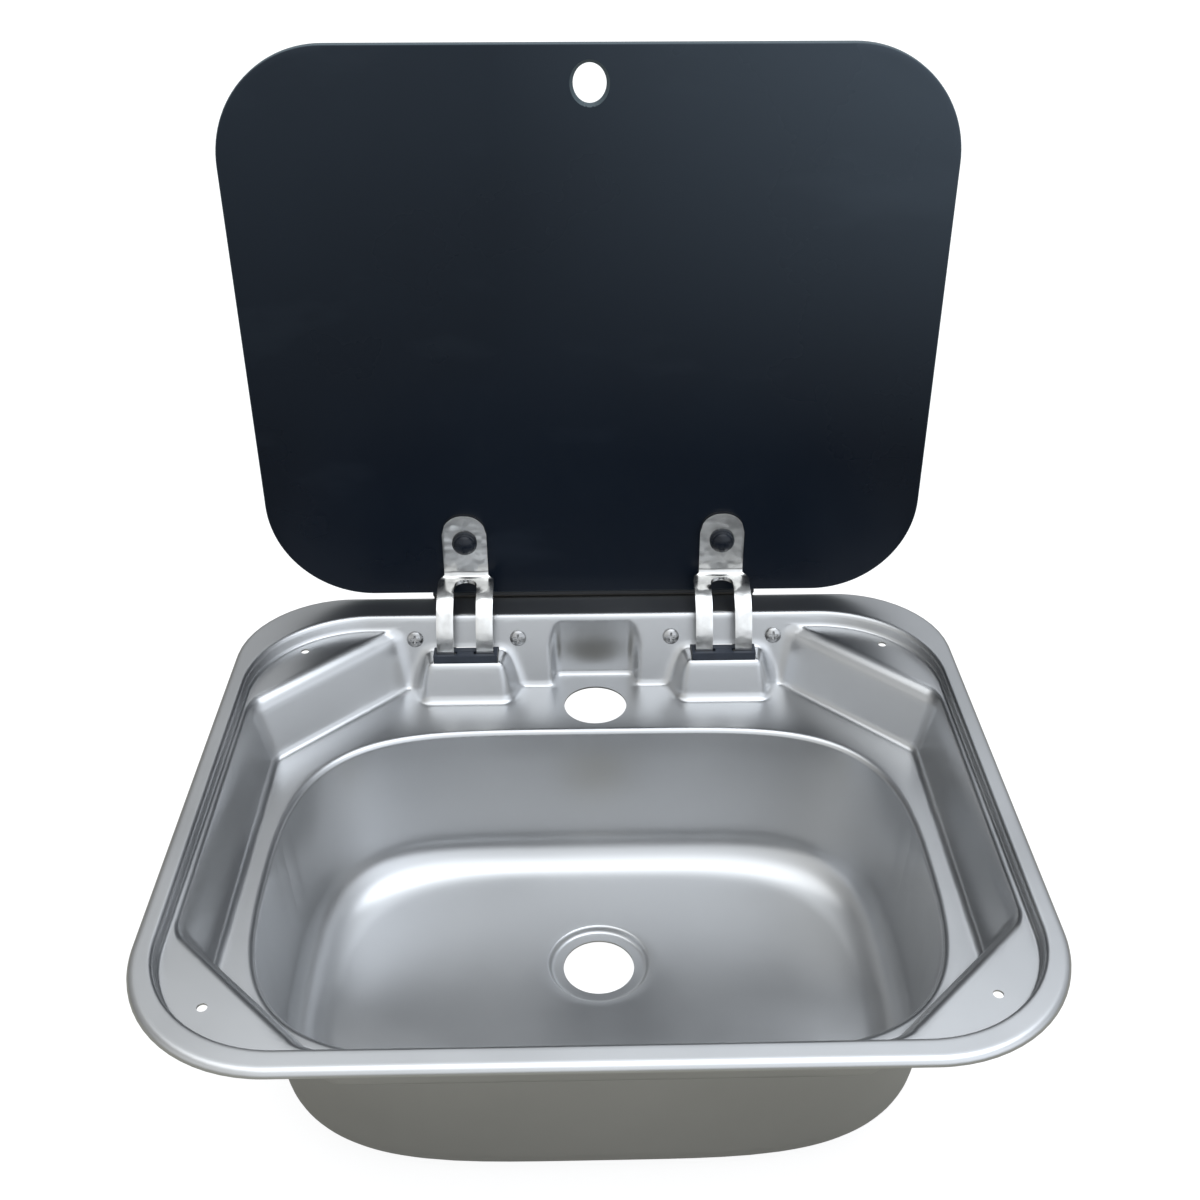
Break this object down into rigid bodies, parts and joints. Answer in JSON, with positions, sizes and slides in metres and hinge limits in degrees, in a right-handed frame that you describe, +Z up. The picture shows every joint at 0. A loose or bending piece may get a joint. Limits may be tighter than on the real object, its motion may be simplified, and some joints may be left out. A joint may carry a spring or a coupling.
{
  "type": "kitchen sink with glass lid",
  "caption": "Flush-mount pressed steel sink with a rounded rectangular bowl, a stepped tap deck and a tinted glass lid on rear goose-neck hinges.",
  "frame": {"origin": "centre of the flange on its top face, where the sink hangs in the worktop cut-out", "axes": "+X across the sink to the right as the user stands, +Y to the rear where the lid hinges are, +Z up"},
  "size_m": [0.42, 0.3745, 0.4687],
  "materials": {
    "sink_steel": "satin pressed stainless steel",
    "tinted_glass": "dark tinted toughened glass",
    "bright_steel": "polished stainless steel",
    "black_plastic": "moulded dark plastic",
    "pin_steel": "ground steel",
    "clip_steel": "spring steel",
    "natural_plastic": "natural nylon",
    "screw_steel": "bright zinc plate",
    "black_rubber": "soft black rubber",
    "cap_plastic": "smooth black"
  },
  "bodies": {
    "sink": {"sink_shell": "sink_steel", "hinge_bracket_left": "black_plastic", "hinge_bracket_right": "black_plastic", "hinge_pin_left": "pin_steel", "hinge_pin_right": "pin_steel", "pin_clips_left": "clip_steel", "pin_clips_right": "clip_steel", "spacer_bush_left": "natural_plastic", "spacer_bush_right": "natural_plastic", "bracket_screws_left": "screw_steel", "bracket_screws_right": "screw_steel"},
    "lid": {"glass_lid": "tinted_glass", "rear_edge_seal": "black_rubber", "hinge_arm_left": "bright_steel", "hinge_arm_right": "bright_steel", "lid_bolt_left": "bright_steel", "lid_bolt_right": "bright_steel", "bolt_sleeve_left": "black_rubber", "bolt_sleeve_right": "black_rubber", "tab_pad_left": "black_rubber", "tab_pad_right": "black_rubber", "cap_nut_left": "cap_plastic", "cap_nut_right": "cap_plastic"}
  },
  "joints": [
    {"name": "lid_hinge", "type": "hinge", "parent": "sink", "child": "lid", "pos_m": [0, 0.1716, -0.0148], "axis": [1, 0, 0], "range_deg": [0, 91]}
  ]
}
